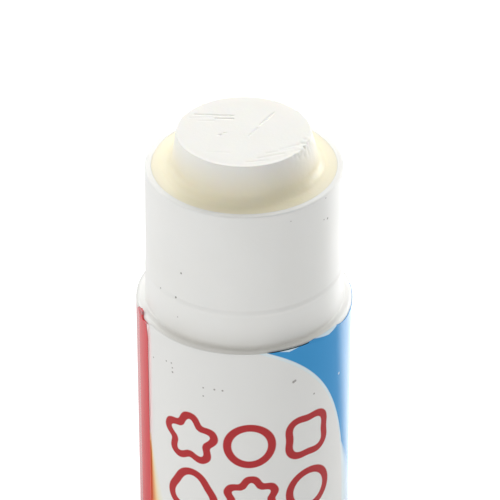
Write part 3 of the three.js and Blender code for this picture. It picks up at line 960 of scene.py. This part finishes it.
def back_panel_mask(tree, u, v, grow):
    """1 inside the rounded panel on the back, which lies across the ends of the coordinate u."""
    half_width, half_height, corner = BACK_PANEL
    aside = maths(tree, "ABSOLUTE", u)
    aside = maths(tree, "SUBTRACT", BACK_U, aside)
    above = maths(tree, "SUBTRACT", v, (LABEL_FOOT + LABEL_TOP) / 2)
    above = maths(tree, "ABSOLUTE", above)
    past = []
    for away, half in ((aside, half_width), (above, half_height)):
        away = maths(tree, "SUBTRACT", away, half - corner)
        past.append(maths(tree, "MAXIMUM", away, 0.0))
    both = add(tree, "ShaderNodeCombineXYZ", past)
    far = add(tree, "ShaderNodeVectorMath", [both], out="Value", operation="LENGTH")
    reach = corner + grow
    return remap(tree, far, reach - 0.04, reach + 0.04, 1.0, 0.0)


def red_side(tree, u, v):
    """Layers from the red's edge on: the glow, and high up a painted shadow and highlight at the lap."""
    lean = remap(tree, v, *RED_LEAN, interpolation_type="SMOOTHSTEP")
    leaning = maths(tree, "ADD", u, lean)
    edge = remap(tree, v, *RED_DRIFT)
    past = maths(tree, "SUBTRACT", leaning, edge)
    width = remap(tree, v, *GLOW_WIDTH)
    share = maths(tree, "DIVIDE", past, width)
    share = maths(tree, "ADD", share, GLOW_EDGE)
    layers = [(remap(tree, share, first, last), ink) for first, last, ink in GLOW]
    # A pinkish strip painted as a highlight on the overlap's cut edge, and its lapped edge's painted
    # shadow.
    clear = remap(tree, past, 0.02, 0.7, 1.0, 0.0)
    outside = maths(tree, "GREATER_THAN", past, 0.01)
    clear = maths(tree, "MULTIPLY", clear, outside)
    lap_shadow = maths(tree, "COMPARE", leaning, RED_EDGE - 0.1, 0.1)
    shows = remap(tree, v, *PAINTED_LAP_HEIGHTS)
    for mask, ink in ((clear, "#ffdede"), (lap_shadow, "#a42c36")):
        layers.append((maths(tree, "MULTIPLY", mask, shows), ink))
    return layers


def blue_side(tree, u, v):
    """Layers past the panel's dome: a pale line along its edge, and the blue, which fades in low down."""
    past = dome_reach(tree, u, v)
    line = remap(tree, past, *DOME_LINE)
    soft = remap(tree, v, *BLUE_FADE)
    field = maths(tree, "SUBTRACT", past, BLUE_START)
    field = maths(tree, "DIVIDE", field, soft, use_clamp=True)
    return [(line, "#e4f1f4"), (field, BLUE_INK)]


def make_print():
    """Laminated printed film: flat inks under a clear glossy coat, dulled by a painted shadow line."""
    material, tree = new_material("laminated_printed_film")
    uv = add(tree, "ShaderNodeUVMap", uv_map="film_mm")
    scaled = add(tree, "ShaderNodeVectorMath", {0: uv, "Scale": 1 / UV_PER_MM}, operation="SCALE")
    u = add(tree, "ShaderNodeSeparateXYZ", [scaled], out="X")
    v = add(tree, "ShaderNodeSeparateXYZ", [scaled], out="Y")
    # A dark line painted along the lifted top edge stands for the shadow in the gap under it; it also
    # takes off the gloss.
    shade_and_marks = top_edge(tree, u, v, SHADOW_LINE_WIDTH, SHADOWED_EDGE)
    layers = red_side(tree, u, v)
    # Painted shade in the fold of the flap.
    layers.append((specks(tree, scaled, FOLD_SHADE), "#bd6c74"))
    layers += blue_side(tree, u, v)
    layers += [(back_panel_mask(tree, u, v, grow), ink) for grow, ink in BACK_PANEL_INKS]
    layers += [(shape_mask(tree, u, v, shape), MARKER_INK) for shape in SHAPES]
    # Pale patches painted as a highlight on the curved top edge.
    layers += [(highlight_patch(tree, u, v, patch), "#dceff8") for patch in HIGHLIGHT_PATCHES]
    layers.append((shade_and_marks, "#1b3340"))
    layers += [(top_edge(tree, u, v, MARGIN, strip), "#deddda") for strip in MARGINS]
    layers.append((specks(tree, scaled, FILM_SPECKS), "#a5a29d"))
    layers.append((specks(tree, scaled, PALE_SPECKS), "#b9dcee"))
    place = add(tree, "ShaderNodeTexCoord", out="Object")
    slow = clouds(tree, place, 9, 2.0)
    fine = clouds(tree, place, 0.5, 2.0)
    ripple = bump(tree, slow, 0.5, 0.08)
    laminate = {
        "Base Color": paint(tree, RED_INK, layers),
        "Roughness": remap(tree, slow, 0.0, 1.0, 0.24, 0.34),
        "IOR": 1.5,
        "Specular IOR Level": 0.0,
        "Normal": bump(tree, fine, 0.2, 0.006, Normal=ripple),
        "Coat Weight": maths(tree, "SUBTRACT", 1.0, shade_and_marks),
        "Coat Roughness": 0.12,
        "Coat IOR": 1.5,
        "Coat Normal": ripple,
    }
    shader = add(tree, "ShaderNodeBsdfPrincipled", laminate)
    add(tree, "ShaderNodeOutputMaterial", {"Surface": shader})
    return material


film = make_film(make_print())
print(film.name, len(film.data.polygons), "faces")

# %% [markdown]
# ## Knob
# The knob is a short cup with grip ribs all round. Its body is turned, and the ribs repeat, so Geometry
# Nodes make them: one bar swept along a short line with rounded ends, put on every point of a circle.


# %% The knob's body
GRIP_COUNT = 40
GRIP_ROOT = KNOB_RADIUS - 0.35
GRIP_LOW = 1.5
GRIP_HIGH = KNOB_TOP - 1.0
KNOB_BORE = 10.85
KNOB_FLOOR = 1.4
HUB_RADIUS = 4.55
HUB_TOP = 7.65
SOCKET_RADIUS = 2.65
SOCKET_FOOT = 2.15

knob_outline = rounded(
    [
        (0, 0),
        (KNOB_RADIUS, 0, 0.5),
        (KNOB_RADIUS, GRIP_LOW, 0.15),
        (GRIP_ROOT, GRIP_LOW + 0.3, 0.15),
        (GRIP_ROOT, GRIP_HIGH - 0.3, 0.15),
        (KNOB_RADIUS, GRIP_HIGH, 0.15),
        (KNOB_RADIUS, KNOB_TOP, 0.25),
        (KNOB_BORE, KNOB_TOP, 0.15),
        (KNOB_BORE, KNOB_FLOOR, 0.4),
        (HUB_RADIUS, KNOB_FLOOR, 0.4),
        (HUB_RADIUS, HUB_TOP, 0.2),
        (SOCKET_RADIUS, HUB_TOP),
        (SOCKET_RADIUS, SOCKET_FOOT),
        (0, SOCKET_FOOT),
    ]
)
knob = turn("knob_body", knob_outline, barrel_plastic)
print(knob.name, len(knob.data.polygons), "faces")


# %% A tree of Geometry Nodes for grip ribs
BAR_STEPS = 24
BAR_SIDES = 12
TAPER_STEEPNESS = 14.0
TAPER_LEAST = 0.02


def grip_tree(name, material):
    """Rounded bars on a circle. Its inputs are the count, the circle's radius, and the bar's sizes."""
    tree = bpy.data.node_groups.new(name, "GeometryNodeTree")
    tree.interface.new_socket("Geometry", in_out="OUTPUT", socket_type="NodeSocketGeometry")
    for label in ("Radius", "Low", "High", "Width", "Height"):
        tree.interface.new_socket(label, in_out="INPUT", socket_type="NodeSocketFloat")
    tree.interface.new_socket("Count", in_out="INPUT", socket_type="NodeSocketInt")
    given = tree.nodes.new("NodeGroupInput").outputs
    foot = add(tree, "ShaderNodeCombineXYZ", {"Z": given["Low"]})
    head = add(tree, "ShaderNodeCombineXYZ", {"Z": given["High"]})
    line = add(tree, "GeometryNodeCurvePrimitiveLine", {"Start": foot, "End": head})
    line = add(tree, "GeometryNodeResampleCurve", {"Curve": line, "Count": BAR_STEPS})
    share = add(tree, "GeometryNodeSplineParameter", out="Factor")
    mirrored = maths(tree, "SUBTRACT", 1.0, share)
    product = maths(tree, "MULTIPLY", share, mirrored)
    steep = maths(tree, "MULTIPLY", product, TAPER_STEEPNESS, use_clamp=True)
    taper = maths(tree, "POWER", steep, 0.5)
    taper = maths(tree, "MAXIMUM", taper, TAPER_LEAST)
    section = add(tree, "GeometryNodeCurvePrimitiveCircle", {"Resolution": BAR_SIDES, "Radius": 1.0})
    size = add(tree, "ShaderNodeCombineXYZ", [given["Height"], given["Width"], 1.0])
    section = add(tree, "GeometryNodeTransform", {"Geometry": section, "Scale": size})
    swept = {"Curve": line, "Profile Curve": section, "Scale": taper, "Fill Caps": True}
    bar = add(tree, "GeometryNodeCurveToMesh", swept)
    ring = {"Vertices": given["Count"], "Radius": given["Radius"]}
    ring = add(tree, "GeometryNodeMeshCircle", ring)
    index = add(tree, "GeometryNodeInputIndex")
    step = maths(tree, "DIVIDE", 2 * math.pi, given["Count"])
    angle = maths(tree, "MULTIPLY", index, step)
    turned = add(tree, "ShaderNodeCombineXYZ", {"Z": angle})
    bars = {"Points": ring, "Instance": bar, "Rotation": turned}
    bars = add(tree, "GeometryNodeInstanceOnPoints", bars)
    bars = add(tree, "GeometryNodeRealizeInstances", {"Geometry": bars})
    bars = add(tree, "GeometryNodeSetMaterial", {"Geometry": bars, "Material": material})
    add(tree, "NodeGroupOutput", [bars])
    return tree


def bake_ribs(name, tree, sizes):
    """Runs the tree on an empty mesh and keeps its result as a plain mesh."""
    holder = new_object(name + "_holder", bpy.data.meshes.new(name + "_holder"))
    modifier = holder.modifiers.new("ribs", "NODES")
    modifier.node_group = tree
    for item in tree.interface.items_tree:
        if item.in_out == "INPUT":
            modifier[item.identifier] = sizes[item.name]
    evaluated = holder.evaluated_get(bpy.context.evaluated_depsgraph_get())
    mesh = bpy.data.meshes.new_from_object(evaluated)
    bpy.data.objects.remove(holder)
    mesh.shade_smooth()
    return new_object(name, mesh)


# %% The knob's ribs
knob_sizes = {
    "Count": GRIP_COUNT,
    "Radius": (GRIP_ROOT - 0.02) * MM,
    "Low": (GRIP_LOW - 0.1) * MM,
    "High": (GRIP_HIGH + 0.1) * MM,
    "Width": 0.52 * MM,
    "Height": 0.34 * MM,
}
knob_ribs = bake_ribs("knob_grip_ribs", grip_tree("grip_ribs", barrel_plastic), knob_sizes)
print(knob_ribs.name, len(knob_ribs.data.polygons), "faces")

# %% [markdown]
# ## Cap
# The cap isn't in the photograph, but the glue's boss shows what is inside it: a sealing ring, with a
# rounded tip that shaped the flare. It stands mouth down beside the stick. Its rounded top edge and a
# shallow dimple where the plastic entered the mould are what such a cap has.

# %% The cap
CAP_BORE = NECK_FOOT_RADIUS + 0.12
CAP_HEIGHT = cap_high.z
CAP_INSIDE = CAP_HEIGHT - 1.3
RING_INNER = 8.5
RING_OUTER = 9.98
RING_TIP = 17.28

cap_outline = rounded(
    [
        (0, CAP_INSIDE),
        (RING_INNER, CAP_INSIDE, 0.25),
        (RING_INNER, RING_TIP, 1.2),
        (RING_OUTER, RING_TIP, 0.1),
        (RING_OUTER, CAP_INSIDE, 0.2),
        (CAP_BORE, CAP_INSIDE, 0.3),
        (CAP_BORE, 0, 0.2),
        (CAP_RADIUS, 0, 0.3),
        (CAP_RADIUS, CAP_HEIGHT, 1.4),
        (1.6, CAP_HEIGHT, 0.1),
        (1.2, CAP_HEIGHT - 0.15, 0.1),
        (0, CAP_HEIGHT - 0.15),
    ],
    steps=10,
)
cap = turn("cap_shell", cap_outline, cap_plastic, segments=240, centre=CAP_CENTRE.xy)
print(cap.name, len(cap.data.polygons), "faces")

# %% [markdown]
# ## Hidden pieces
# The spindle and the carrier are right as the frame has them: nobody sees them without taking the stick
# apart. They keep their own meshes and get the plain plastic.

# %% The spindle and the carrier keep their shape
for node in ("spindle", "carrier"):
    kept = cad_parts[node]
    for slot in kept.material_slots:
        slot.material = inner_plastic
    print(node, "keeps", len(kept.data.polygons), "faces")

# %% [markdown]
# ## What moves with what
# Each piece rides on the body of the frame that carries it, and the frame's node that it stands for is
# hidden. Turn the knob, and the spindle turns with it while the glue climbs out of the barrel.

# %% Ride and replace
for piece, body, node, slot in (
    (barrel, "barrel", "barrel", "barrel_plastic"),
    (film, "barrel", "label", "label_film"),
    (glue, "carrier", "glue", "glue"),
    (knob, "knob", "knob", "knob_plastic"),
    (cap, "cap", "cap", "cap_plastic"),
):
    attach(piece, body)
    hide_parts(node)
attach(knob_ribs, "knob")

# %% [markdown]
# ## Studio
# The photograph is high key: the stick stands on a white light table that glows a little, in front of
# white, with a big soft light above and behind it and hardly any light from the camera's side. So its
# edges are bright, its front is grey, and much of the light on its walls comes up from the table. In
# reflections only, the table shines brighter behind it and most on the right, as a white card there would,
# and the glossy film shows it. The floor is plain and pale and keeps the shadow. To the camera it looks
# white where nothing shades it, and far off it melts into the white behind it, as a studio sweep does.

# %% The light on the table and in reflections
WORLD_FILL = 0.1
WORLD_IN_GLOSS = 1.0
TABLE_GLOW = 0.27
CAMERA_GLOW = 0.1
CARD_FRONT = 0.53
CARD_LEFT = 0.8
CARD_RIGHT = 2.05
CARD_ACROSS = (-0.02, 0.04)
CARD_AWAY = (0.035, 0.07)
SWEEP_FAR = (0.3, 0.8)
FLOOR_HALF = 1500.0
STICK = (0, 0, 0.08)
SOFTBOXES = [
    ("top_softbox", (0.0, 0.05, 0.9), 0.9, 0.9, 1.9),
    ("back_softbox", (0.0, 0.48, 0.52), 0.7, 0.4, 2.4),
    ("left_softbox", (-0.6, -0.12, 0.3), 0.5, 0.4, 1.05),
    ("back_left_softbox", (-0.5, 0.35, 0.35), 0.4, 0.4, 1.08),
    ("right_softbox", (0.52, 0.4, 0.25), 0.35, 0.45, 2.76),
    ("front_softbox", (0.0, -0.8, 0.12), 1.0, 0.22, 1.7),
]


# %% The floor
def make_floor():
    """A wide plain light table. Glossy surfaces see it dim in front and bright behind."""
    material, tree = new_material("pale_light_table")
    to_camera = add(tree, "ShaderNodeLightPath", out="Is Camera Ray")
    in_gloss = add(tree, "ShaderNodeLightPath", out="Is Glossy Ray")
    place = add(tree, "ShaderNodeTexCoord", out="Object")
    side = add(tree, "ShaderNodeSeparateXYZ", [place], out="X")
    depth = add(tree, "ShaderNodeSeparateXYZ", [place], out="Y")
    behind = remap(tree, side, *CARD_ACROSS, CARD_LEFT, CARD_RIGHT, interpolation_type="SMOOTHSTEP")
    card = remap(tree, depth, *CARD_AWAY, CARD_FRONT, behind, interpolation_type="SMOOTHSTEP")
    far = add(tree, "ShaderNodeVectorMath", [place], out="Value", operation="LENGTH")
    sweep = remap(tree, far, *SWEEP_FAR, CAMERA_GLOW, 1.0, interpolation_type="SMOOTHSTEP")
    strength = maths(tree, "MULTIPLY_ADD", to_camera, sweep, TABLE_GLOW)
    plain = add(tree, "ShaderNodeBsdfDiffuse", {"Color": colour("#f2f2f2")})
    glow = add(tree, "ShaderNodeEmission", {"Color": colour("#ffffff"), "Strength": strength})
    table = add(tree, "ShaderNodeAddShader", [plain, glow])
    mirrored = add(tree, "ShaderNodeEmission", {"Color": colour("#ffffff"), "Strength": card})
    seen = add(tree, "ShaderNodeMixShader", [in_gloss, table, mirrored])
    add(tree, "ShaderNodeOutputMaterial", {"Surface": seen})
    half = FLOOR_HALF
    corners = [(-half, -half, 0), (half, -half, 0), (half, half, 0), (-half, half, 0)]
    return add_piece("floor", corners, [(0, 1, 2, 3)], material)


floor = make_floor()


# %% The lights
def add_softbox(name, place, width, height, power):
    """A rectangular soft light in metres, aimed at the stick."""
    data = bpy.data.lights.new(name, "AREA")
    data.shape = "RECTANGLE"
    data.size = width
    data.size_y = height
    data.energy = power
    lamp = new_object(name, data)
    lamp.location = place
    lamp.rotation_euler = (Vector(STICK) - Vector(place)).to_track_quat("-Z", "Y").to_euler()
    return lamp


for softbox in SOFTBOXES:
    add_softbox(*softbox)
print(len(SOFTBOXES), "softboxes")


def make_world():
    """White to the camera and in reflections, and a dim even fill for everything else."""
    world = bpy.data.worlds.new("studio")
    bpy.context.scene.world = world
    world.use_nodes = True
    tree = world.node_tree
    tree.nodes.clear()
    camera_ray = add(tree, "ShaderNodeLightPath", out="Is Camera Ray")
    glossy_ray = add(tree, "ShaderNodeLightPath", out="Is Glossy Ray")
    clear_ray = add(tree, "ShaderNodeLightPath", out="Is Transmission Ray")
    either = maths(tree, "MAXIMUM", glossy_ray, clear_ray)
    fill = add(tree, "ShaderNodeBackground", {"Color": colour("#ffffff"), "Strength": WORLD_FILL})
    shown = add(tree, "ShaderNodeBackground", {"Color": colour("#ffffff"), "Strength": WORLD_IN_GLOSS})
    white = add(tree, "ShaderNodeBackground", {"Color": colour("#ffffff"), "Strength": 1.0})
    seen = add(tree, "ShaderNodeMixShader", [either, fill, shown])
    seen = add(tree, "ShaderNodeMixShader", [camera_ray, seen, white])
    add(tree, "ShaderNodeOutputWorld", {"Surface": seen})


make_world()
bpy.context.scene.view_settings.view_transform = "Standard"
